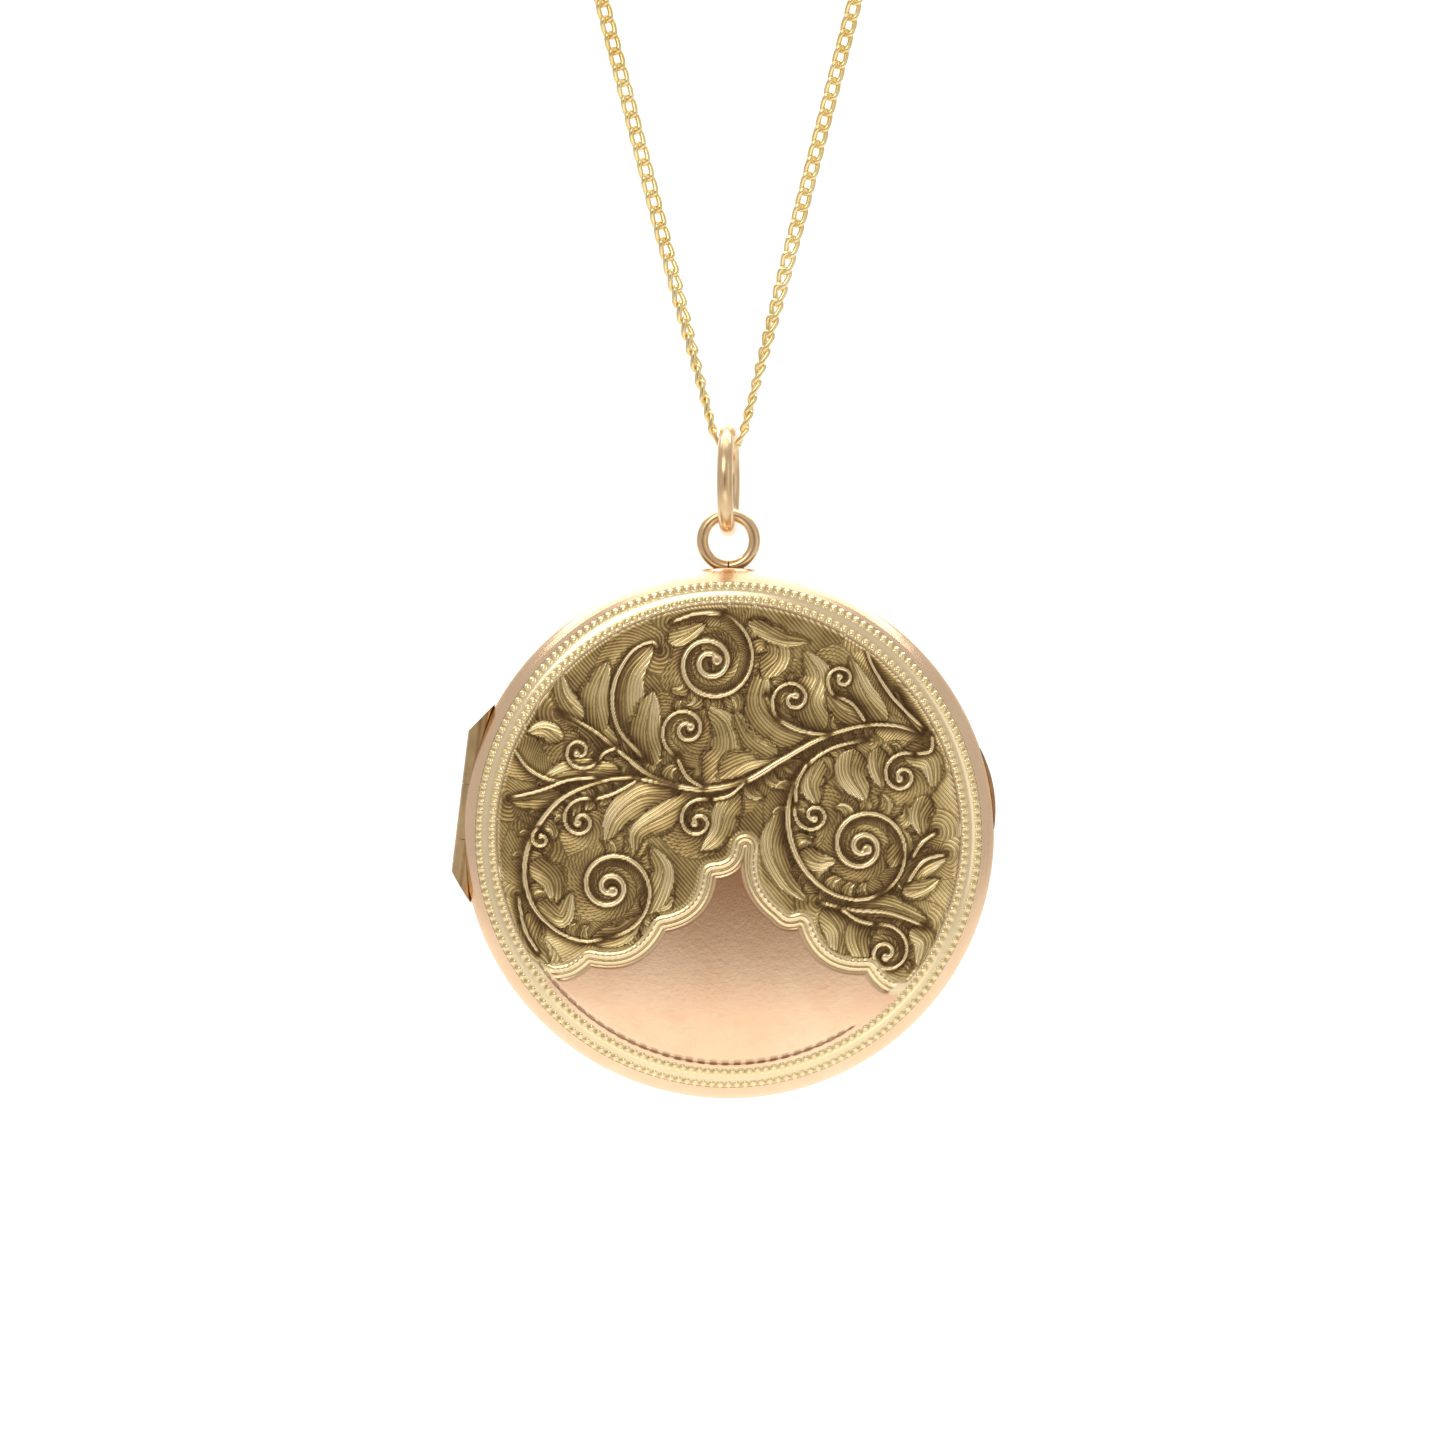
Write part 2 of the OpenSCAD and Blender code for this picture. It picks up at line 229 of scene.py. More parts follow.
def make_chain():
    """The curb links, each centred on every second point of the route."""
    points, length = along_route(CHAIN_ROUTE, LINK_PITCH / 2)
    quads = grid_faces(LINK_STEPS, WIRE_SIDES, close_rows=True, close_columns=True)
    vertices, faces = [], []
    for i in range(1, len(points), 2):
        middle = Vector(points[i])
        along = (Vector(points[i + 1]) - Vector(points[i - 1])).normalized()
        base = len(vertices)
        sizes = RING_LINK_SIZES if middle.z < RING_LINKS_BELOW_Z else LINK_SIZES
        vertices += link_rings(middle, along, link_turn(middle.z), sizes)
        faces += [[base + k for k in quad] for quad in quads]
    chain = new_piece("curb_chain_links", vertices, faces)
    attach(chain, "chain")
    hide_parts("neck_chain")
    return chain


# Decoration of the front, in millimetres from the centre of the case: x to the right, z up

# Bright raised stems: (points, width at the start, width in the middle, width at the end)
STEMS = [
    # the long branch across the face
    ([(-10, 7.4), (-8, 6.3), (-6.3, 4.9), (-4.4, 3.5), (-1.8, 2.85), (0.9, 3.3), (3.2, 4.6),
      (5.6, 5.9), (8, 6.6), (10, 6.6), (11.6, 6.1)], 0.12, 0.34, 0.12),
    # its left arm
    ([(-3.2, 3), (-5.8, 3.5), (-7.9, 3.2), (-9.9, 2.3), (-11.2, 0.9), (-12, -0.7), (-12.2, -2.4),
      (-11.7, -4.2), (-10.4, -5.6), (-8.7, -6.3), (-7, -6)], 0.1, 0.3, 0.12),
    # its right arm
    ([(8.3, 5.8), (6, 5.2), (4.3, 3.8), (3.6, 1.9), (3.7, -0.1), (4.5, -1.9), (6, -3.3),
      (7.9, -3.8), (9.6, -3.2)], 0.1, 0.3, 0.12),
    ([(11.6, 6.2), (10.6, 7.4), (10, 8.6)], 0.1, 0.2, 0.06),
    ([(11.7, 6.4), (9.9, 8.2), (8.7, 10), (8.2, 11.2)], 0.08, 0.22, 0.08),
    ([(12.4, 0.2), (11.6, -0.4), (11, -1.3)], 0.06, 0.2, 0.06),
    ([(13, -1.1), (11.7, -1.5), (10.7, -2.8)], 0.06, 0.2, 0.06),
    ([(-12.9, 5.3), (-11.9, 4), (-10.3, 3.3), (-8.6, 3.6)], 0.06, 0.2, 0.06),
    ([(-13.1, 2.3), (-11.4, 2.7), (-9.4, 3.4), (-7.8, 3.5)], 0.06, 0.2, 0.06),
    ([(-5, 4.6), (-6.6, 6.5), (-6.9, 8.8), (-5.9, 10.9), (-4.6, 11.6), (-4.1, 11.1)], 0.1, 0.24, 0.16),
    ([(6, 6.1), (4.4, 6.3), (2.9, 7.1), (2.2, 8.4)], 0.08, 0.24, 0.1),
    ([(5.4, -3.9), (7.4, -4.4), (9.6, -4.6), (11.7, -5.4)], 0.06, 0.2, 0.06),
    ([(-12.6, -3.6), (-12.2, -5.6), (-11.4, -7)], 0.06, 0.18, 0.06),
    # short stems that carry the spirals
    ([(-1.5, 2.9), (-2.5, 3.6), (-3.1, 4.76)], 0.06, 0.2, 0.2),
    ([(-6.7, 5.3), (-7.4, 5.0), (-7.82, 4.47)], 0.06, 0.16, 0.16),
    ([(-5.4, 3.4), (-6.8, 2.6), (-8.05, 2.2)], 0.06, 0.18, 0.18),
    ([(1, 3.3), (0.1, 2.5), (-1.05, 2.2)], 0.06, 0.18, 0.18),
    ([(4.7, 4.4), (4.1, 3.2), (4.02, 1.93)], 0.06, 0.18, 0.18),
    ([(12.2, 6), (12.1, 5.1), (11.15, 4.9)], 0.06, 0.18, 0.18),
    ([(8.2, 6.8), (7.4, 7.9), (6.42, 8.37)], 0.06, 0.16, 0.16),
    ([(6.7, -4.3), (7.7, -5.0), (8.78, -5.31)], 0.06, 0.18, 0.2),
    ([(-3.4, 12.8), (-1.9, 13.3), (-0.32, 13.3)], 0.06, 0.2, 0.28),
]

# Spirals: (centre, outer radius, inner radius, angle at the outer end, turns, width)
# A positive number of turns runs anticlockwise from the outer end to the eye.
SPIRALS = [
    ((-1.1, 10.4), 3.0, 0.45, 75, -2.15, 0.34),
    ((-2.5, 6.4), 1.75, 0.3, 250, -1.6, 0.26),
    ((-8.9, 5.1), 1.25, 0.25, 330, -1.3, 0.2),
    ((-8.8, 0.9), 1.5, 0.25, 60, 1.4, 0.24),
    ((-7.1, -3.0), 3.1, 0.35, 265, 2.1, 0.34),
    ((-1.8, 0.9), 1.5, 0.25, 60, 1.4, 0.22),
    ((8.0, -0.6), 3.1, 0.35, 290, 2.1, 0.34),
    ((5.1, 1.3), 1.25, 0.25, 150, 1.35, 0.22),
    ((10.4, 3.6), 1.5, 0.25, 60, 1.45, 0.24),
    ((3.9, 8.2), 1.5, 0.25, 230, -1.45, 0.24),
    ((6.8, 9.4), 1.1, 0.22, 250, -1.3, 0.2),
    ((9.4, -7.0), 1.8, 0.3, 110, -1.55, 0.26),
    ((-11.2, -0.2), 0.7, 0.2, 100, 1.0, 0.14),
]

# Leaves: (points from the root to the tip, half width, number of lobes)
LEAVES = [
    ([(-5.2, 4.6), (-6.1, 7), (-6, 9.5), (-4.6, 11.3)], 1.0, 4),
    ([(-4.5, 4.4), (-4.9, 6.2), (-4.5, 8.6)], 0.75, 3),
    ([(-6.6, 4.9), (-8.2, 6.6), (-10.3, 7.6)], 0.6, 3),
    ([(-7.7, 6.3), (-7.9, 8.4), (-7.2, 10.4)], 0.65, 3),
    ([(-8.7, 7), (-9.8, 8.3), (-10.1, 9.8)], 0.5, 2),
    ([(-6.5, 3.9), (-8, 4), (-9.7, 3.9), (-11.4, 3.1)], 0.55, 3),
    ([(-9.9, 2.4), (-11.4, 2.2), (-13, 2.1)], 0.5, 3),
    ([(-9.9, 5.8), (-11, 6.4), (-12, 6.2)], 0.45, 2),
    ([(-3.4, 2.5), (-5.2, 2.4), (-6.7, 1.2), (-7.3, -0.2)], 0.75, 3),
    ([(-2, 2.4), (-3.8, 1.3), (-5.4, 0.3), (-5.6, -0.9)], 0.6, 3),
    ([(0.6, 2.7), (-0.2, 1.5), (-0.6, 0.2), (-1.6, -0.8)], 0.6, 3),
    ([(-11.9, -1.6), (-10.6, -2.6), (-10.4, -4.1)], 0.6, 3),
    ([(-11.4, -4), (-10, -4.9), (-9.4, -3.4)], 0.5, 2),
    ([(-5, -4.6), (-4.2, -3.2), (-3.9, -1.9), (-4.6, -0.6)], 0.6, 3),
    ([(-8.2, -6.2), (-6.4, -5.9), (-5.1, -4.7)], 0.5, 2),
    ([(-11.7, -4.6), (-12, -6.4), (-10.8, -7.8)], 0.6, 2),
    ([(-1.4, 3.4), (0, 5), (-0.2, 6.7), (-1.2, 7.6)], 0.85, 3),
    ([(-0.6, 3.6), (1, 4.5), (2.8, 4.7)], 0.55, 2),
    ([(2.9, 5), (1.4, 5.9), (0.4, 7.5)], 0.5, 3),
    ([(4.6, 6), (2.9, 6.6), (1.8, 8), (2.2, 10)], 0.8, 3),
    ([(5.6, 6.4), (4.9, 8), (5.4, 9.6), (4.6, 11)], 0.8, 3),
    ([(8.2, 6.9), (6.8, 7.5), (5.9, 8.5)], 0.5, 3),
    ([(9.4, 6.9), (8.1, 8.6), (7.3, 10.6)], 0.55, 3),
    ([(2, 9.6), (3, 10.8), (2.6, 12.3)], 0.6, 2),
    ([(-3.6, 11.6), (-2.4, 12.1), (-1.4, 12.7)], 0.45, 3),
    ([(-1.6, 11.9), (-0.4, 10.8), (-0.9, 9.9)], 0.55, 2),
    ([(1.2, 12.8), (3.2, 11.8), (4.8, 11.6)], 0.4, 3),
    ([(5.4, 4.7), (4.9, 3.2), (5.3, 1.9)], 0.6, 3),
    ([(7.5, 5.2), (7.3, 3.8), (8.2, 2.2)], 0.75, 3),
    ([(9, 5.3), (8.9, 4.2), (9.2, 2.9)], 0.5, 2),
    ([(10.4, 5.1), (12, 4.5), (12.3, 2.9)], 0.6, 3),
    ([(11.9, 2.4), (11.4, 1.2), (11.6, 0)], 0.5, 2),
    ([(4.3, -0.9), (5.3, -1.5), (6.4, -1.4)], 0.5, 3),
    ([(3.1, 1.4), (2.6, -0.6), (3.4, -2.6), (4.6, -3.8)], 0.6, 3),
    ([(9.6, -1.8), (10.4, -0.4), (9.6, 0.8)], 0.5, 2),
    ([(10.5, -3.1), (11.4, -1.9), (13, -1.3)], 0.6, 3),
    ([(10.4, -3.4), (11.7, -3.1), (12.6, -2.6)], 0.4, 2),
    ([(7, -4.3), (9.4, -4.2), (11.9, -5.1)], 0.55, 3),
    ([(5.6, -4.4), (6.6, -5.6), (6.5, -7.4)], 0.75, 3),
    ([(8, -4.9), (7.7, -6.2), (8.2, -7.8)], 0.6, 3),
    ([(10.9, -5.6), (11.8, -6.4), (11.4, -7.9)], 0.6, 3),
]

# Rows of small leaves: (stem, from and to along it, spacing, size, side: 1 left, -1 right)
STEM_LEAVES = [
    (0, 0.15, 0.45, 1.1, 1.2, 1), (0, 0.2, 0.5, 1.2, 1.0, -1), (0, 0.5, 0.9, 1.1, 1.2, 1),
    (0, 0.5, 0.9, 1.2, 1.1, -1), (1, 0.15, 0.95, 1.1, 1.2, 1), (1, 0.1, 0.6, 1.2, 0.9, -1),
    (2, 0.1, 0.95, 1.1, 1.2, 1), (2, 0.15, 0.8, 1.2, 0.9, -1),
]

# The plain part's scalloped edge, as cusps from the left to the right, and how far each
# scallop bulges down into the plain part
SCALLOPS = [
    ((-11.4, -8.4), (-8.3, -7.6), 0.5), ((-8.3, -7.6), (-3.9, -5.5), 0.95),
    ((-3.9, -5.5), (-0.9, -2.3), 0.85), ((-0.9, -2.3), (1, -0.6), 0.55),
    ((1, -0.6), (2.7, -4.9), 0.7), ((2.7, -4.9), (4.3, -5.3), 0.3),
    ((4.3, -5.3), (8.3, -8.1), 0.95), ((8.3, -8.1), (11.3, -9.5), 0.6),
]

# Depth of the cut ground, how far leaves and stems stand up from it, and pitch of the hatching
CUT_DEPTH = 0.11
LEAF_RISE = 0.10
STEM_RISE = 0.13
HATCH_STEP = 0.2
# How much fuller the leaves and finer the stems are than the widths in their lists
LEAF_FULLNESS = 1.6
STEM_FINENESS = 0.52
# The least half width of a stem
THINNEST_STEM = 0.09
# Brightness of the ground, where 0 is the darkest metal and 1 the brightest
GROUND_TONE = 0.33
# Distances from the scalloped edge over which the cut ground starts, and from the centre of
# the case over which the ground, and the border of the plain part, run out
GROUND_START = (0.75, 1.05)
GROUND_END = (13.6, 13.95)
BORDER_END = (13.0, 13.5)
# Grooves beside the scalloped edge: (distance from it, half width, depth as a share)
GROOVES = [(0, 0.09, 1), (0.34, 0.07, 0.8), (0.78, 0.08, 0.8)]
GROOVE_DEPTH = 0.07
# The row of pearls between the grooves
PEARL_FROM_EDGE = 0.56
PEARL_HALF_WIDTH = 0.13
PEARL_PITCH = 0.42
PEARL_RISE = 0.05
# The dashed line that closes the plain part below: its radius, half width and depth, and the
# wave that breaks it into dashes
CLOSING_R = 13.62
CLOSING_HALF_WIDTH = 0.07
CLOSING_DEPTH = 0.06
CLOSING_WAVE = 118
# Outline of the plain part below its scalloped edge, out past the field
PLAIN_CORNERS = [(14.5, -9.6), (14.5, -15), (-14.5, -15), (-14.5, -8.3)]


def spiral_points(centre, outer, inner, start_degrees, turns):
    """A spiral that tightens evenly from the outer radius to the eye."""
    steps = max(24, int(abs(turns) * 40))
    out = []
    for i in range(steps + 1):
        t = i / steps
        angle = math.radians(start_degrees) + 2 * math.pi * turns * t
        radius = outer * (inner / outer) ** t
        out.append((centre[0] + radius * math.cos(angle), centre[1] + radius * math.sin(angle)))
    return np.array(out)


def nearest_on(line, x, z):
    """Distance to a curve, place along it from 0 to 1, and signed offset from it."""
    best = np.full(x.shape, 1e9)
    along = np.zeros(x.shape)
    side = np.zeros(x.shape)
    step = np.diff(line, axis=0)
    length = np.linalg.norm(step, axis=1)
    reach = np.concatenate([[0], np.cumsum(length)])
    for i in range(len(step)):
        if length[i] < 1e-9:
            continue
        direction = step[i] / length[i]
        rx, rz = x - line[i][0], z - line[i][1]
        t = np.clip(rx * direction[0] + rz * direction[1], 0, length[i])
        dx, dz = rx - t * direction[0], rz - t * direction[1]
        distance = np.hypot(dx, dz)
        closer = distance < best
        best = np.where(closer, distance, best)
        along = np.where(closer, (reach[i] + t) / reach[-1], along)
        cross = direction[0] * dz - direction[1] * dx
        side = np.where(closer, np.copysign(distance, cross), side)
    return best, along, side


def window(x, z, line, margin):
    """Indices of the points in a curve's box, grown by a margin."""
    low, high = line.min(axis=0) - margin, line.max(axis=0) + margin
    return np.nonzero((x > low[0]) & (x < high[0]) & (z > low[1]) & (z < high[1]))[0]


def side_leaves(line, from_along, to_along, spacing, size, side):
    """Small curved leaves that spring from one side of a stem, as (points, width, lobes)."""
    step = np.linalg.norm(np.diff(line, axis=0), axis=1)
    reach = np.concatenate([[0], np.cumsum(step)])
    count = max(1, int((to_along - from_along) * reach[-1] / spacing))
    leaves = []
    for i in range(count):
        at = (from_along + (to_along - from_along) * (i + 0.5) / count) * reach[-1]
        k = int(np.clip(np.searchsorted(reach, at), 1, len(line) - 2))
        along = (line[k + 1] - line[k - 1]) / np.linalg.norm(line[k + 1] - line[k - 1])
        out = np.array([-along[1], along[0]]) * side
        grow = size * (1 - 0.35 * i / count)
        points = [line[k], line[k] + grow * (0.35 * out - 0.35 * along),
                  line[k] + grow * (0.85 * out - 0.30 * along),
                  line[k] + grow * (1.2 * out + 0.1 * along)]
        leaves.append((points, 0.3 * grow, 3))
    return leaves


def smoothstep(low, high, value):
    t = np.clip((value - low) / (high - low), 0, 1)
    return t * t * (3 - 2 * t)


def scallop_line():
    """The edge of the plain part as one polyline, each scallop an arc between its cusps."""
    line = []
    for (x0, z0), (x1, z1), bulge in SCALLOPS:
        a, b = np.array([x0, z0]), np.array([x1, z1])
        out = np.array([b[1] - a[1], -(b[0] - a[0])]) / np.linalg.norm(b - a)
        for i in range(12):
            t = i / 12
            line.append(a + (b - a) * t + out * bulge * 4 * t * (1 - t))
    line.append(np.array(SCALLOPS[-1][1]))
    return np.array(line)


def inside_polygon(polygon, x, z):
    inside = np.zeros(x.shape, dtype=bool)
    count = len(polygon)
    for i in range(count):
        x0, z0 = polygon[i]
        x1, z1 = polygon[(i + 1) % count]
        crosses = (z0 > z) != (z1 > z)
        with np.errstate(divide="ignore", invalid="ignore"):
            at = (x1 - x0) * (z - z0) / (z1 - z0 + 1e-12) + x0
        inside ^= crosses & (x < at)
    return inside


def stem_width(along, start, middle, end):
    """Width of a stem that swells or thins from its start to its middle and on to its end."""
    first = start + (middle - start) * smoothstep(0, 0.5, along)
    last = middle + (end - middle) * smoothstep(0.5, 1, along)
    return np.where(along < 0.5, first, last)


def list_strokes():
    """Stems and spirals as (line, widths at its start, middle and end, turn), and their leaves."""
    strokes = []
    small_leaves = []
    for points, start, middle, end in STEMS:
        strokes.append((smooth_curve(points, 10), start, middle, end, 0))
    for index, from_along, to_along, spacing, size, side in STEM_LEAVES:
        line = strokes[index][0]
        small_leaves += side_leaves(line, from_along, to_along, spacing, size, side)
    for centre, outer, inner, angle, turns, width in SPIRALS:
        line = spiral_points(centre, outer, inner, angle, turns)
        strokes.append((line, width * 0.4, width * 0.75, width * 0.9, np.sign(turns)))
        small_leaves += side_leaves(line, 0.08, 0.5, 0.9, 0.42 * outer, -np.sign(turns))
    return strokes, small_leaves


def slant_hatching(x, z, strokes, hatch):
    """Turns the ground's fine lines so that they slant away from the nearest stem."""
    reach = 1.5
    nearest = np.full(x.shape, 9.0)
    for line, *_ in strokes:
        at = window(x, z, line, reach)
        distance, along, _ = nearest_on(line, x[at], z[at])
        length = np.linalg.norm(np.diff(line, axis=0), axis=1).sum()
        closer = distance < nearest[at]
        nearest[at] = np.where(closer, distance, nearest[at])
        hatch[at] = np.where(closer & (distance < reach), along * length + 0.8 * distance, hatch[at])


def cut_leaf(x, z, leaf, ground, patch, layers):
    """Cuts one leaf into the layers: its blade, its vein and a dark line along one side."""
    points, half_width, lobes = leaf
    height, tone, hatch, hatching = layers
    half_width = half_width * LEAF_FULLNESS
    line = smooth_curve(points, 8)
    at = window(x, z, line, half_width * 1.6)
    distance, along, side = nearest_on(line, x[at], z[at])
    bow = np.sin(math.pi * np.clip(along, 0, 1) ** 0.75) ** 0.75
    notch = 0.72 + 0.28 * np.abs(np.sin(math.pi * lobes * along)) ** 0.7
    notch = notch + 0.1 * along * np.sin(2 * math.pi * 5 * lobes * along)
    width = half_width * (0.12 + 0.88 * bow) * np.where(side > 0, notch, 0.85)
    across = np.clip(distance / width, 0, 1.3)
    blade = 1 - smoothstep(0.8, 1.08, across)
    # one half of a leaf stands up, the other falls away into its shade
    lean = 0.5 + 0.5 * np.clip(-side / width, -1, 1)
    vein = np.exp(-(side / 0.07) ** 2)
    top = LEAF_RISE * blade * (0.4 + 0.6 * lean) - 0.03 * vein
    inside = (blade > 0.5) & (ground[at] > 0.1)
    height[at] = np.where(inside, -CUT_DEPTH + top, height[at])
    # painted shade: the tone is darker on the half of the leaf that falls away and along its vein, and
    # lighter towards the tip
    shade = 0.10 + 0.60 * lean * (1 - 0.3 * across) + 0.26 * along - 0.14 * vein
    tone[at] = np.where(inside, shade + 0.1 * patch[at], tone[at])
    hatch[at] = np.where(inside, side + 0.35 * along * np.sign(side), hatch[at])
    hatching[at] = np.where(inside, 1, hatching[at])
    # a shallow groove hugs the side of the leaf that falls away, and painted shadow darkens it
    ring = np.exp(-((distance - 1.02 * width - 0.08) / 0.09) ** 2) * ground[at]
    ring *= np.where(side > 0, 1, 0.45)
    height[at] -= 0.35 * CUT_DEPTH * ring
    tone[at] *= 1 - 0.62 * ring
    hatching[at] *= 1 - 0.7 * ring


def cut_stroke(x, z, stroke, ground, layers):
    """Raises one stem or spiral in the layers, with a shallow channel beside it that painted shade
    darkens.
    """
    line, start, middle, end, turn = stroke
    height, tone, _, hatching = layers
    at = window(x, z, line, 1.6)
    distance, along, side = nearest_on(line, x[at], z[at])
    width = np.maximum(THINNEST_STEM, STEM_FINENESS * stem_width(along, start, middle, end))
    if turn:
        from_eye = np.hypot(x[at] - line[-1][0], z[at] - line[-1][1])
        distance = np.minimum(distance, np.maximum(0, from_eye - middle * 0.6))
    near = np.clip(distance / width, 0, 9)
    # painted shade beside the stem, in a shallow channel: deep and wide on its inner side, narrow on
    # the other
    inner = side * (turn if turn else -1) > 0
    fall = np.where(inner, 0.46, 0.2) * (0.6 + 0.4 * np.sin(math.pi * along))
    shaded_channel = np.exp(-(np.maximum(0, distance - 1.15 * width) / fall) ** 2) * ground[at]
    height[at] -= 0.4 * CUT_DEPTH * shaded_channel
    tone[at] *= 1 - 0.84 * shaded_channel
    hatching[at] *= 1 - 0.75 * shaded_channel
    # a stem tapers away at its start, and at its end unless a spiral's eye closes it
    taper = smoothstep(0, 0.1, along) * (1 if turn else smoothstep(0, 0.08, 1 - along))
    ridge = (1 - smoothstep(0.6, 1.05, near)) * taper
    crest = -CUT_DEPTH + STEM_RISE * np.sqrt(np.clip(1 - (near / 1.1) ** 2, 0, 1))
    risen = np.maximum(height[at], crest)
    height[at] = height[at] + (risen - height[at]) * np.minimum(1, 2 * ridge)
    # painted shade: the stem's tone falls off a little towards one flank
    bright = 1.0 - 0.2 * np.clip(side / width, 0, 1)
    tone[at] = tone[at] * (1 - ridge) + bright * ridge
    hatching[at] *= 1 - ridge


def cut_border(edge, from_edge, edge_along, radius, turn_deg, height, tone):
    """Cuts the plain part's border: grooves and pearls along its edge, a dashed line below."""
    run_out = 1 - smoothstep(*BORDER_END, radius)
    groove = 0
    for middle, half_width, share in GROOVES:
        groove = groove + share * np.exp(-((from_edge - middle) / half_width) ** 2)
    groove *= run_out
    height -= GROOVE_DEPTH * groove
    # painted shade: the grooves are darker in tone
    tone -= 0.5 * groove
    edge_length = np.linalg.norm(np.diff(edge, axis=0), axis=1).sum()
    pearls = np.abs(np.sin(math.pi * edge_along * edge_length / PEARL_PITCH)) ** 0.6
    pearl_row = np.exp(-((from_edge - PEARL_FROM_EDGE) / PEARL_HALF_WIDTH) ** 2) * run_out
    height += PEARL_RISE * pearl_row * pearls
    # painted shade: the tone is darker between the pearls
    tone -= 0.4 * pearl_row * (1 - pearls)

    low = smoothstep(-150, -142, turn_deg) * (1 - smoothstep(-62, -54, turn_deg))
    dash = 0.35 + 0.65 * (np.sin(np.radians(turn_deg) * CLOSING_WAVE) > -0.2)
    closing = np.exp(-((radius - CLOSING_R) / CLOSING_HALF_WIDTH) ** 2) * low * dash
    height -= CLOSING_DEPTH * closing
    # painted shade: the dashed line is darker in tone
    tone -= 0.6 * closing


def decoration(x, z):
    """The decorated field at points in millimetres from the centre of the case.

    Returns the height in millimetres, the brightness, how plain the surface is, the phase
    of the hatching in millimetres, and the strength of the hatching.
    """
    radius = np.hypot(x, z)
    turn_deg = np.degrees(np.arctan2(z, x))
    edge = scallop_line()
    plain = inside_polygon(np.array(list(edge) + [np.array(p) for p in PLAIN_CORNERS]), x, z)
    from_edge, edge_along, _ = nearest_on(edge, x, z)
    from_edge = np.where(plain, -from_edge, from_edge)
    # the cut ground starts inside the scalloped border and stops short of the bead rows
    ground = smoothstep(*GROUND_START, from_edge) * (1 - smoothstep(*GROUND_END, radius))
    # slow waves that make the ground darker here and lighter there
    patch = np.sin(0.9 * x + 1.3 * np.sin(0.7 * z)) * np.sin(1.1 * z + 1.7 * np.sin(0.5 * x))
    # the cutting is worn and light at the lower left and along the right
    worn = np.exp(-((turn_deg + 152) / 16) ** 2) * smoothstep(10, 13, radius)
    worn = worn + np.exp(-((turn_deg - 8) / 34) ** 2) * smoothstep(12, 13.8, radius)

    height = -0.6 * CUT_DEPTH * ground
    tone = 1 - (1 - GROUND_TONE + 0.12 * patch - 0.3 * worn) * ground
    hatch = 0.75 * x + 0.65 * z
    hatching = 0.9 * ground
    layers = (height, tone, hatch, hatching)
    strokes, small_leaves = list_strokes()
    slant_hatching(x, z, strokes, hatch)
    for leaf in small_leaves + LEAVES:
        cut_leaf(x, z, leaf, ground, patch, layers)
    for stroke in strokes:
        cut_stroke(x, z, stroke, ground, layers)
    np.maximum(height, -1.6 * CUT_DEPTH, out=height)
    cut_border(edge, from_edge, edge_along, radius, turn_deg, height, tone)

    plainness = smoothstep(-0.1, 0.2, -from_edge)
    return height, np.clip(tone, 0, 1), plainness, hatch, hatching


def field_height(radius_mm):
    """Height of the front cover's dome above the seam, as in the CAD model."""
    fall = (np.minimum(radius_mm, FIELD_R_MM) / FIELD_R_MM) ** 2
    return BAND_HEIGHTS_MM[-1] + DOME_RISE_MM * (1 - fall)


def make_front_field():
    """The decorated field: a fine height map on a disc, laid over the dome."""
    count = 312
    u, v = np.meshgrid(np.linspace(-1, 1, count), np.linspace(-1, 1, count), indexing="ij")
    x = (FIELD_R_MM * u * np.sqrt(1 - v * v / 2)).ravel()
    z = (FIELD_R_MM * v * np.sqrt(1 - u * u / 2)).ravel()
    height, tone, plainness, hatch, hatching = decoration(x, z)
    radius = np.hypot(x, z)
    # the cutting fades out at the rim, so that the field meets the bead border
    hold = 1 - smoothstep(FIELD_R_MM - 0.3, FIELD_R_MM, radius)
    level = field_height(radius) + height * hold
    vertices = [case_point(*p) for p in zip(x, z, level)]
    field = new_piece("front_field", vertices, grid_faces(count, count))
    for name, values in [("tone", tone), ("plain", plainness), ("hatch", hatch),
                         ("hatching", hatching)]:
        add_attribute(field, name, values)
    return field


# Border of the front, in millimetres: rows of beads as (distance in from the case's edge,
# number of beads)
BEAD_ROWS = [(1.0, 188), (1.8, 178)]
BEAD_R = 0.19
BEAD_RISE = 0.13
# The shallow trough that each row of beads lies in
TROUGH_DEPTH = 0.06
TROUGH_SPREAD = 0.2
TROUGH_REACH = 0.34
# Where the border tucks under the rolled edge: (distance in from the edge, height)
TUCKED_EDGE = (0.76, 1.47)
BAND_STEPS = 30


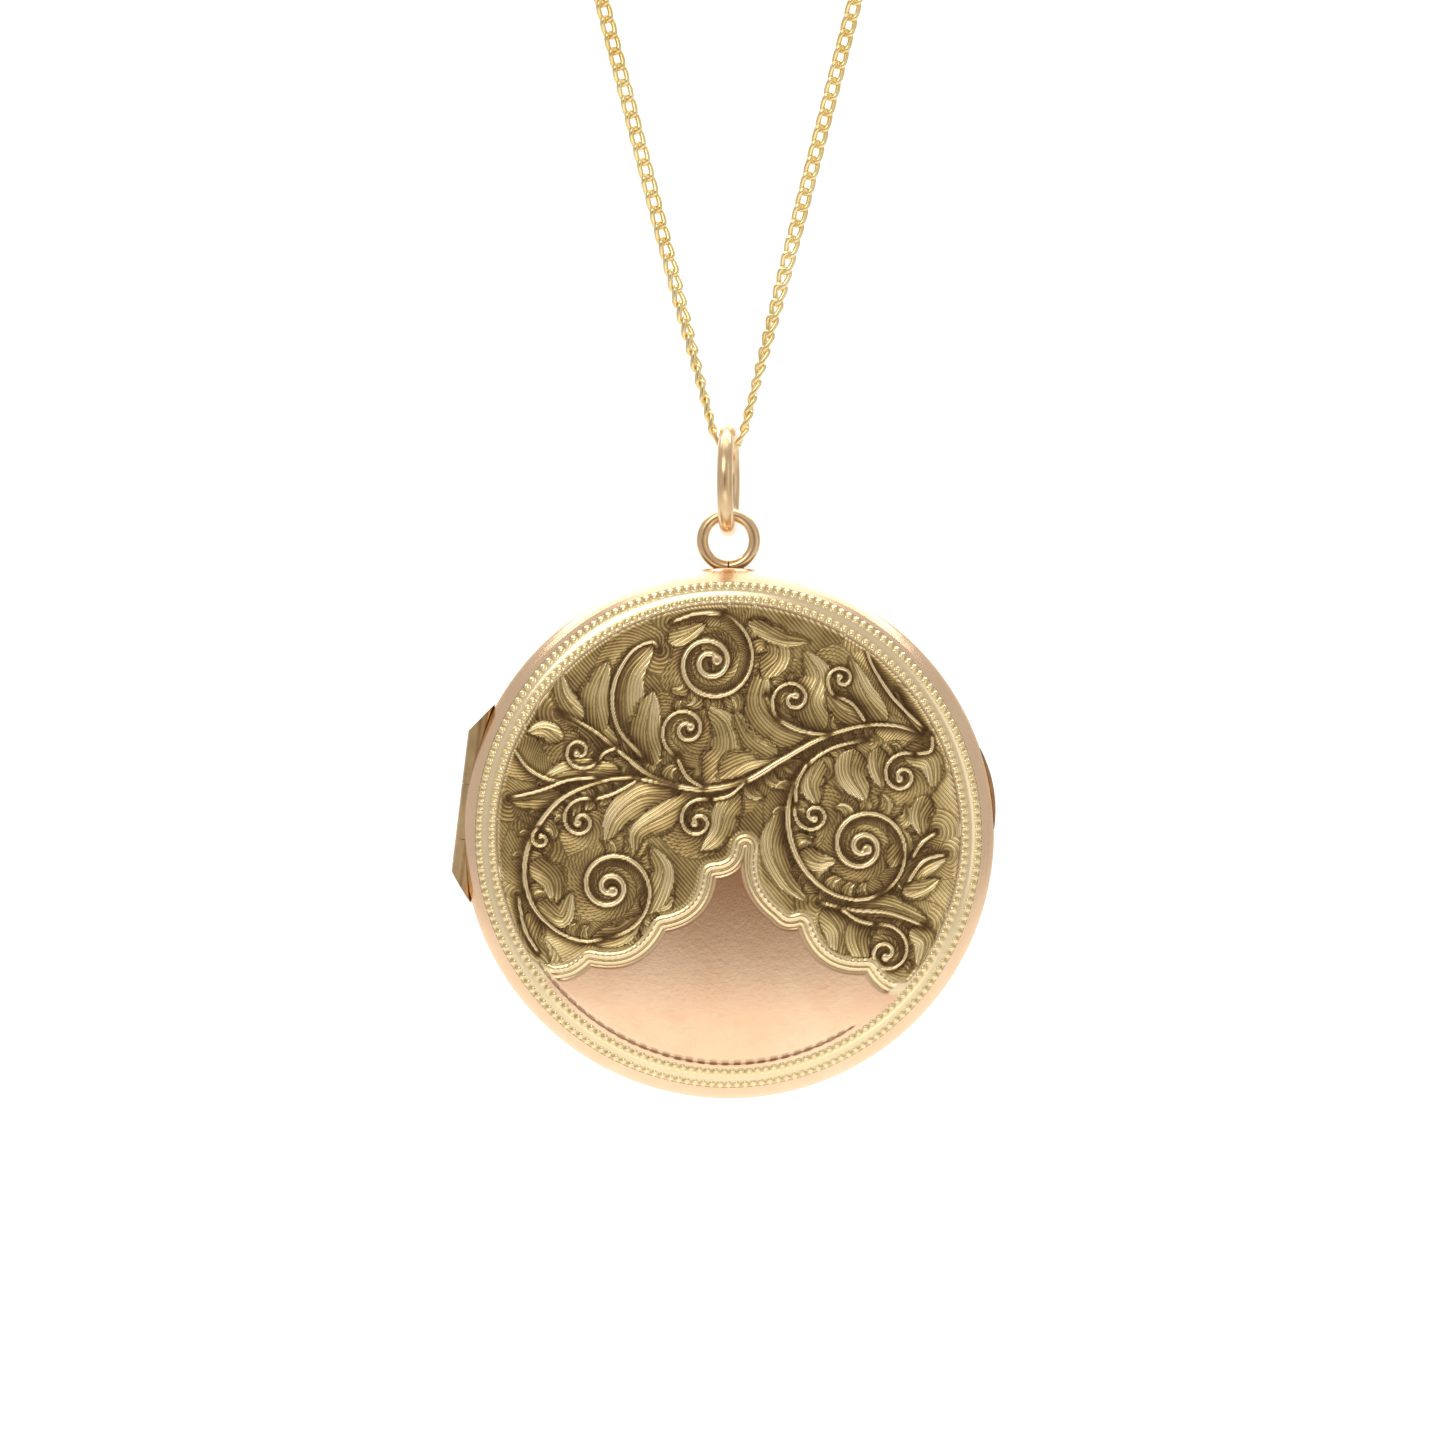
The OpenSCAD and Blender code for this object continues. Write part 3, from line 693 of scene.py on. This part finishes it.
def make_front_border():
    """The band with its two rows of beads, from the rolled edge to the field."""
    around = 1504
    insets = np.linspace(BAND_INSETS_MM[0], BAND_INSETS_MM[-1], BAND_STEPS + 1)
    profile = [TUCKED_EDGE]
    profile += [(inset, float(np.interp(inset, BAND_INSETS_MM, BAND_HEIGHTS_MM))) for inset in insets]
    vertices, tone = [], []
    for inset, flat in profile:
        for k in range(around):
            angle = 2 * math.pi * k / around
            height, shade = flat, 1.0
            for row, number in BEAD_ROWS:
                step = 2 * math.pi / number
                off = (angle / step - round(angle / step)) * step * (CASE_R / MM - row)
                away = math.hypot(off, inset - row)
                if abs(inset - row) < TROUGH_REACH:
                    trough = math.exp(-(((inset - row) / TROUGH_SPREAD) ** 2))
                    height -= TROUGH_DEPTH * trough
                    # painted shade: the trough is darker in tone, except on the beads
                    shade -= 0.5 * trough * min(1, away / BEAD_R) ** 2
                if away < BEAD_R:
                    height += BEAD_RISE * math.sqrt(1 - (away / BEAD_R) ** 2)
            radius = CASE_R / MM - inset
            vertices.append(case_point(radius * math.cos(angle), radius * math.sin(angle), height))
            tone.append(shade)
    faces = grid_faces(len(profile), around, close_columns=True)
    border = new_piece("front_bead_border", vertices, faces)
    add_attribute(border, "tone", tone)
    add_attribute(border, "plain", np.zeros(len(tone)))
    return border


# The outer skin that the border and the field replace: further in and higher than this, and
# facing forwards
SKIN_INSET_MM = 0.82
SKIN_HEIGHT_MM = 1.5
SKIN_FACING = -0.3


def make_front_shell():
    """The rest of the front cover: its rolled edge, the hinge's recess and the inside."""
    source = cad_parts["front_cover"]
    mesh = source.data.copy()
    shell = bpy.data.objects.new("front_shell", mesh)
    bpy.context.scene.collection.objects.link(shell)
    mesh.materials.clear()
    bm = bmesh.new()
    bm.from_mesh(mesh)
    outer = []
    for face in bm.faces:
        centre = face.calc_center_median()
        inset = CASE_R / MM - math.hypot(centre.x - CASE_X, centre.z - CASE_Z) / MM
        height = (SEAM_Y - centre.y) / MM
        if inset > SKIN_INSET_MM and face.normal.y < SKIN_FACING and height > SKIN_HEIGHT_MM:
            outer.append(face)
    bmesh.ops.delete(bm, geom=outer, context="FACES")
    bm.to_mesh(mesh)
    bm.free()
    return shell


CRYSTAL_GAP = 0.02 * MM
CRYSTAL_BEVEL = 0.03 * MM


def make_crystal(node, paper, body):
    """A crystal as thick as the CAD one less a hair, so that it stands clear of its paper."""
    low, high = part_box(node)
    paper_in_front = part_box(paper)[0][1] < low[1]
    front = low[1] + (CRYSTAL_GAP if paper_in_front else 0)
    back = high[1] - (0 if paper_in_front else CRYSTAL_GAP)
    radius = (high[2] - low[2]) / 2
    around = 96
    profile = [(radius - CRYSTAL_BEVEL, front), (radius, front + CRYSTAL_BEVEL),
               (radius, back - CRYSTAL_BEVEL), (radius - CRYSTAL_BEVEL, back)]
    vertices = []
    for r, y in profile:
        for k in range(around):
            angle = 2 * math.pi * k / around
            vertices.append((CASE_X + r * math.cos(angle), y, CASE_Z + r * math.sin(angle)))
    faces = grid_faces(len(profile), around, close_columns=True)
    faces.append(list(range(around)))
    faces.append([3 * around + around - 1 - k for k in range(around)])
    disc = new_piece(node + "_disc", vertices, faces, smooth=False)
    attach(disc, body)
    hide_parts(node)
    return disc


# Lumps of solder in millimetres: half sizes along x, y and z, and the height of the middle
# above the eyelet's foot. The first lies along the rim, the second is the butt joint's line.
SOLDER_LUMPS_MM = [(0.8, 0.34, 0.1, 0.01), (0.062, 0.3, 0.34, 0.1)]


def make_eyelet_solder():
    """The dark seam where the eyelet's butt joint is soldered to the rim."""
    foot_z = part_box("back_cover")[1][2]
    middle_y = (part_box("eyelet")[0][1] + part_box("eyelet")[1][1]) / 2
    rows, around = 9, 20
    vertices, faces = [], []
    for half_x, half_y, half_z, above in SOLDER_LUMPS_MM:
        base = len(vertices)
        for i in range(rows):
            # the first and last rows stop just short of the poles and are capped
            polar = math.pi * (i + 0.02) / (rows - 0.96)
            for k in range(around):
                turn = 2 * math.pi * k / around
                x = CASE_X + half_x * MM * math.cos(polar)
                y = middle_y + half_y * MM * math.sin(polar) * math.cos(turn)
                z = foot_z + above * MM + half_z * MM * math.sin(polar) * math.sin(turn)
                vertices.append((x, y, z))
        faces += [[base + k for k in quad] for quad in grid_faces(rows, around, close_columns=True)]
        faces.append([base + k for k in range(around)])
        faces.append([base + (rows - 1) * around + around - 1 - k for k in range(around)])
    solder = new_piece("eyelet_solder", vertices, faces)
    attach(solder, "back")
    return solder


# Materials

def shader_material(name):
    material = bpy.data.materials.new(name)
    material.use_nodes = True
    tree = material.node_tree
    tree.nodes.clear()
    out = tree.nodes.new("ShaderNodeOutputMaterial")
    shader = tree.nodes.new("ShaderNodeBsdfPrincipled")
    tree.links.new(shader.outputs["BSDF"], out.inputs["Surface"])
    return material, tree, shader


def add_node(tree, kind, **settings):
    node = tree.nodes.new(kind)
    for key, value in settings.items():
        setattr(node, key, value)
    return node


def object_noise(tree, scale, detail=4, roughness=0.55, stretch=(1, 1, 1)):
    """Noise in the object's own coordinates, with scale in features per millimetre."""
    place = add_node(tree, "ShaderNodeTexCoord")
    mapping = add_node(tree, "ShaderNodeMapping")
    mapping.inputs["Scale"].default_value = [1000 * s for s in stretch]
    tree.links.new(place.outputs["Object"], mapping.inputs["Vector"])
    noise = add_node(tree, "ShaderNodeTexNoise")
    noise.inputs["Scale"].default_value = scale
    noise.inputs["Detail"].default_value = detail
    noise.inputs["Roughness"].default_value = roughness
    tree.links.new(mapping.outputs["Vector"], noise.inputs["Vector"])
    return noise.outputs["Fac"]


def ramp(tree, factor, stops):
    node = add_node(tree, "ShaderNodeValToRGB")
    elements = node.color_ramp.elements
    while len(elements) < len(stops):
        elements.new(0.5)
    for element, (at, colour) in zip(elements, stops):
        element.position = at
        element.color = (*colour, 1)
    tree.links.new(factor, node.inputs["Fac"])
    return node.outputs["Color"]


def maths(tree, operation, a, b=None):
    node = add_node(tree, "ShaderNodeMath", operation=operation)
    for socket, value in zip(node.inputs, (a, b)):
        if value is None:
            continue
        if isinstance(value, (int, float)):
            socket.default_value = value
        else:
            tree.links.new(value, socket)
    return node.outputs["Value"]


def mix_colour(tree, factor, a, b):
    """Colour a where the factor is 0, b where it is 1. Inputs 6 and 7 take the colours."""
    node = add_node(tree, "ShaderNodeMix", data_type="RGBA")
    sockets = (node.inputs["Factor"], node.inputs[6], node.inputs[7])
    for socket, value in zip(sockets, (factor, a, b)):
        if isinstance(value, (int, float)):
            socket.default_value = value
        elif isinstance(value, tuple):
            socket.default_value = (*value, 1)
        else:
            tree.links.new(value, socket)
    return node.outputs[2]


def range_of(tree, value, low, high):
    node = add_node(tree, "ShaderNodeMapRange")
    tree.links.new(value, node.inputs["Value"])
    node.inputs["To Min"].default_value = low
    node.inputs["To Max"].default_value = high
    return node.outputs["Result"]


def add_bump(tree, shader, height, distance):
    bump = add_node(tree, "ShaderNodeBump")
    bump.inputs["Distance"].default_value = distance
    bump.inputs["Strength"].default_value = 1.0
    tree.links.new(height, bump.inputs["Height"])
    tree.links.new(bump.outputs["Normal"], shader.inputs["Normal"])


# Depths of the bumps
SCRATCH_DEPTH = 0.004 * MM
HATCHING_DEPTH = 0.03 * MM
PAPER_GRAIN = 0.01 * MM

# Light and dark colour and the lowest and highest roughness of both covers
COVER_GOLD = ((0.93, 0.66, 0.42), (0.88, 0.60, 0.37), 0.15, 0.3)
OLD_SOLDER = ((0.30, 0.19, 0.10), (0.12, 0.07, 0.03), 0.4, 0.6)
CHAIN_GOLD = ((0.97, 0.80, 0.44), (0.88, 0.66, 0.28), 0.12, 0.26)
# Painted shade on the back cover at the seam: its colour, and how far behind the seam it fades out
SEAM_SHADE = (0.22, 0.14, 0.08)
SEAM_SHADE_REACH = 1.3 * MM


def polished_gold(name, light, dark, low_rough, high_rough):
    """Worn gold: its colour and gloss wander a little, and fine scratches run through it."""
    material, tree, shader = shader_material(name)
    cloud = object_noise(tree, 0.35, 5)
    tree.links.new(ramp(tree, cloud, [(0.3, dark), (0.7, light)]), shader.inputs["Base Color"])
    fine = object_noise(tree, 2.4, 6, 0.7)
    tree.links.new(range_of(tree, fine, low_rough, high_rough), shader.inputs["Roughness"])
    lines = object_noise(tree, 1.1, 8, 0.75, stretch=(1, 1, 6))
    add_bump(tree, shader, lines, SCRATCH_DEPTH)
    shader.inputs["Metallic"].default_value = 1
    return material


def shade_at_seam(material):
    """Darkens a gold with painted shade at the seam of the case, less and less over the reach behind
    it.
    """
    tree = material.node_tree
    shader = next(n for n in tree.nodes if n.type == "BSDF_PRINCIPLED")
    clean = shader.inputs["Base Color"].links[0].from_socket
    place = add_node(tree, "ShaderNodeTexCoord")
    split = add_node(tree, "ShaderNodeSeparateXYZ")
    tree.links.new(place.outputs["Object"], split.inputs["Vector"])
    behind = add_node(tree, "ShaderNodeMapRange")
    tree.links.new(split.outputs["Y"], behind.inputs["Value"])
    behind.inputs["From Min"].default_value = SEAM_Y
    behind.inputs["From Max"].default_value = SEAM_Y + SEAM_SHADE_REACH
    colour = mix_colour(tree, behind.outputs["Result"], SEAM_SHADE, clean)
    tree.links.new(colour, shader.inputs["Base Color"])


def engraved_gold():
    """The front: bright stems, olive leaves cut with fine lines, dark ground, rosy plain part."""
    material, tree, shader = shader_material("engraved_gold")

    def read(name):
        node = add_node(tree, "ShaderNodeAttribute", attribute_name=name)
        return node.outputs["Fac"]

    tone, plain, hatch, hatching = read("tone"), read("plain"), read("hatch"), read("hatching")
    wave = maths(tree, "SINE", maths(tree, "MULTIPLY", hatch, 2 * math.pi / HATCH_STEP))
    lines = maths(tree, "MULTIPLY", wave, hatching)
    grime = object_noise(tree, 1.6, 6, 0.65)
    cloud = object_noise(tree, 0.16, 3)
    shaded = maths(tree, "ADD", tone, maths(tree, "MULTIPLY", lines, 0.15))
    speckle = maths(tree, "MULTIPLY", maths(tree, "SUBTRACT", grime, 0.5), 0.3)
    shaded = maths(tree, "ADD", shaded, speckle)
    metal = ramp(tree, shaded, [
        (0.0, (0.09, 0.05, 0.02)), (0.18, (0.21, 0.13, 0.055)), (0.42, (0.48, 0.34, 0.13)),
        (0.68, (0.85, 0.66, 0.34)), (1.0, (1.0, 0.80, 0.50))])
    rose = ramp(tree, cloud, [(0.35, (0.86, 0.53, 0.33)), (0.65, (0.93, 0.64, 0.43))])
    plain_metal = mix_colour(tree, 0.85, metal, rose)
    # in the plain part, the painted shade of the grooves and pearls in the tone, and the speckle, pull
    # the colour towards dark brown
    groove_shade_and_speckle = mix_colour(tree, shaded, (0.25, 0.15, 0.08), plain_metal)
    tree.links.new(mix_colour(tree, plain, metal, groove_shade_and_speckle), shader.inputs["Base Color"])
    shader.inputs["Metallic"].default_value = 1
    rough = range_of(tree, shaded, 0.42, 0.17)
    tree.links.new(rough, shader.inputs["Roughness"])
    fine = object_noise(tree, 3.2, 6, 0.7)
    cuts = maths(tree, "MULTIPLY", lines, 0.5)
    relief = maths(tree, "ADD", cuts, maths(tree, "MULTIPLY", fine, 0.22))
    add_bump(tree, shader, relief, HATCHING_DEPTH)
    return material


def thin_crystal():
    """A clear disc: its alpha lets the light reach the paper, and a faint smear dulls it."""
    material, tree, shader = shader_material("thin_crystal")
    smear = object_noise(tree, 0.4, 4)
    tree.links.new(ramp(tree, smear, [(0.3, (0.80, 0.84, 0.84)), (0.7, (0.92, 0.94, 0.93))]),
                   shader.inputs["Base Color"])
    shader.inputs["Alpha"].default_value = 0.14
    tree.links.new(range_of(tree, smear, 0.02, 0.09), shader.inputs["Roughness"])
    return material


def aged_paper():
    material, tree, shader = shader_material("aged_paper")
    stain = object_noise(tree, 0.25, 5)
    colours = [(0.3, (0.62, 0.50, 0.35)), (0.7, (0.84, 0.75, 0.60))]
    tree.links.new(ramp(tree, stain, colours), shader.inputs["Base Color"])
    shader.inputs["Roughness"].default_value = 0.8
    add_bump(tree, shader, object_noise(tree, 6, 4), PAPER_GRAIN)
    return material


def bright_steel():
    material, tree, shader = shader_material("spring_steel")
    cloud = object_noise(tree, 1.5, 4)
    tree.links.new(ramp(tree, cloud, [(0.3, (0.42, 0.42, 0.44)), (0.7, (0.62, 0.62, 0.64))]),
                   shader.inputs["Base Color"])
    shader.inputs["Metallic"].default_value = 1
    shader.inputs["Roughness"].default_value = 0.3
    return material


def dress(piece, material):
    piece.data.materials.clear()
    piece.data.materials.append(material)


def add_materials():
    """Dresses every CAD node, and returns the material of each by the node's name."""
    case = polished_gold("case_gold", *COVER_GOLD)
    back = polished_gold("back_gold", *COVER_GOLD)
    shade_at_seam(back)
    ring = polished_gold("ring_gold", (0.90, 0.67, 0.40), (0.72, 0.47, 0.24), 0.14, 0.34)
    barrel = polished_gold("hinge_gold", (0.74, 0.52, 0.27), (0.38, 0.24, 0.11), 0.2, 0.4)
    rim = polished_gold("rim_gold", (0.90, 0.69, 0.40), (0.82, 0.60, 0.32), 0.14, 0.24)
    clasp = polished_gold("clasp_gold", (0.92, 0.68, 0.30), (0.80, 0.55, 0.22), 0.14, 0.28)
    looks = {
        "back_cover": back, "thumb_lip": case, "front_cover": case,
        "jump_ring": ring, "eyelet": ring,
        "hinge_knuckle_upper": barrel, "hinge_knuckle_lower": barrel,
        "hinge_knuckle_centre": barrel, "hinge_pin": barrel,
        "front_snap_rim": rim, "back_snap_rim": rim, "front_photo_rim": rim, "back_photo_rim": rim,
        "clasp_case": clasp, "clasp_eye": clasp, "clasp_bolt": clasp, "clasp_trigger": clasp,
        "end_ring_left": clasp, "end_ring_right": clasp,
        "clasp_spring": bright_steel(), "front_crystal": thin_crystal(),
        "front_photo": aged_paper(), "neck_chain": clasp,
    }
    looks["back_crystal"] = looks["front_crystal"]
    looks["back_photo"] = looks["front_photo"]
    for name, material in looks.items():
        dress(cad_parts[name], material)
    return looks


# Light, floor and backdrop

def area_light(name, place, target, size, power, colour=(1, 1, 1)):
    data = bpy.data.lights.new(name, "AREA")
    data.shape = "RECTANGLE"
    data.size, data.size_y = size
    data.energy = power
    data.color = colour
    light = bpy.data.objects.new(name, data)
    bpy.context.scene.collection.objects.link(light)
    light.location = place
    light.rotation_euler = (Vector(place) - Vector(target)).to_track_quat("Z", "Y").to_euler()


FLOOR_BELOW = 0.2
FLOOR_FRONT_Y = -0.9
WALL_Y = 0.6
WALL_TOP_Z = 0.7
SWEEP_BEND = 0.2
SWEEP_HALF_WIDTH = 1.2


def make_stage():
    """A pale sweep: floor, curve and back wall in one sheet."""
    floor_z = cad_box[0][2] - FLOOR_BELOW
    outline = [(FLOOR_FRONT_Y, floor_z)]
    for i in range(9):
        a = math.pi / 2 * i / 8
        outline.append((WALL_Y - SWEEP_BEND + SWEEP_BEND * math.sin(a),
                        floor_z + SWEEP_BEND - SWEEP_BEND * math.cos(a)))
    outline.append((WALL_Y, WALL_TOP_Z))
    vertices = [(x, y, z) for x in (-SWEEP_HALF_WIDTH, SWEEP_HALF_WIDTH) for y, z in outline]
    sweep = new_piece("studio_sweep", vertices, grid_faces(2, len(outline)))
    material, tree, shader = shader_material("pale_sweep")
    tone = object_noise(tree, 0.01, 2)
    tree.links.new(ramp(tree, tone, [(0.4, (0.9, 0.9, 0.9)), (0.6, (0.92, 0.92, 0.92))]),
                   shader.inputs["Base Color"])
    shader.inputs["Roughness"].default_value = 0.9
    dress(sweep, material)


def make_light():
    """Soft light all round, warm and dark towards -Y, which the plain part mirrors."""
    world = bpy.data.worlds.new("studio")
    bpy.context.scene.world = world
    world.use_nodes = True
    tree = world.node_tree
    background = tree.nodes["Background"]
    place = add_node(tree, "ShaderNodeTexCoord")
    split = add_node(tree, "ShaderNodeSeparateXYZ")
    tree.links.new(place.outputs["Generated"], split.inputs["Vector"])
    forward = maths(tree, "MULTIPLY", split.outputs["Y"], -1)
    glow = ramp(tree, forward, [
        (0.0, (0.80, 0.80, 0.82)), (0.72, (0.80, 0.80, 0.80)), (0.94, (0.78, 0.75, 0.72)),
        (0.98, (0.42, 0.32, 0.24)), (1.0, (0.30, 0.20, 0.13))])
    tree.links.new(glow, background.inputs["Color"])
    background.inputs["Strength"].default_value = 0.75
    middle = (CASE_X, SEAM_Y, CASE_Z)
    area_light("key", (-0.10, -0.30, 0.16), middle, (0.26, 0.18), 0.28)
    area_light("fill", (0.34, -0.22, 0.0), middle, (0.14, 0.34), 0.06)
    area_light("low", (0.02, -0.30, -0.22), middle, (0.34, 0.10), 0.07, (1, 0.95, 0.88))
    area_light("top", (0, 0.02, 0.36), middle, (0.4, 0.3), 0.36)
    area_light("wall", (0, 0.25, 0.45), (0, WALL_Y, -0.12), (0.9, 0.3), 4.4)
    bpy.context.scene.view_settings.view_transform = "Standard"


make_camera()
chain = make_chain()
looks = add_materials()
dress(chain, polished_gold("chain_gold", *CHAIN_GOLD))
engraved = engraved_gold()
for piece, look in ((make_front_field(), engraved), (make_front_border(), engraved),
                    (make_front_shell(), looks["front_cover"])):
    dress(piece, look)
    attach(piece, "front")
    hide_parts("front_cover")
for node, paper, body in (("front_crystal", "front_photo", "front"),
                          ("back_crystal", "back_photo", "back")):
    dress(make_crystal(node, paper, body), looks[node])
dress(make_eyelet_solder(), polished_gold("old_solder", *OLD_SOLDER))
make_stage()
make_light()
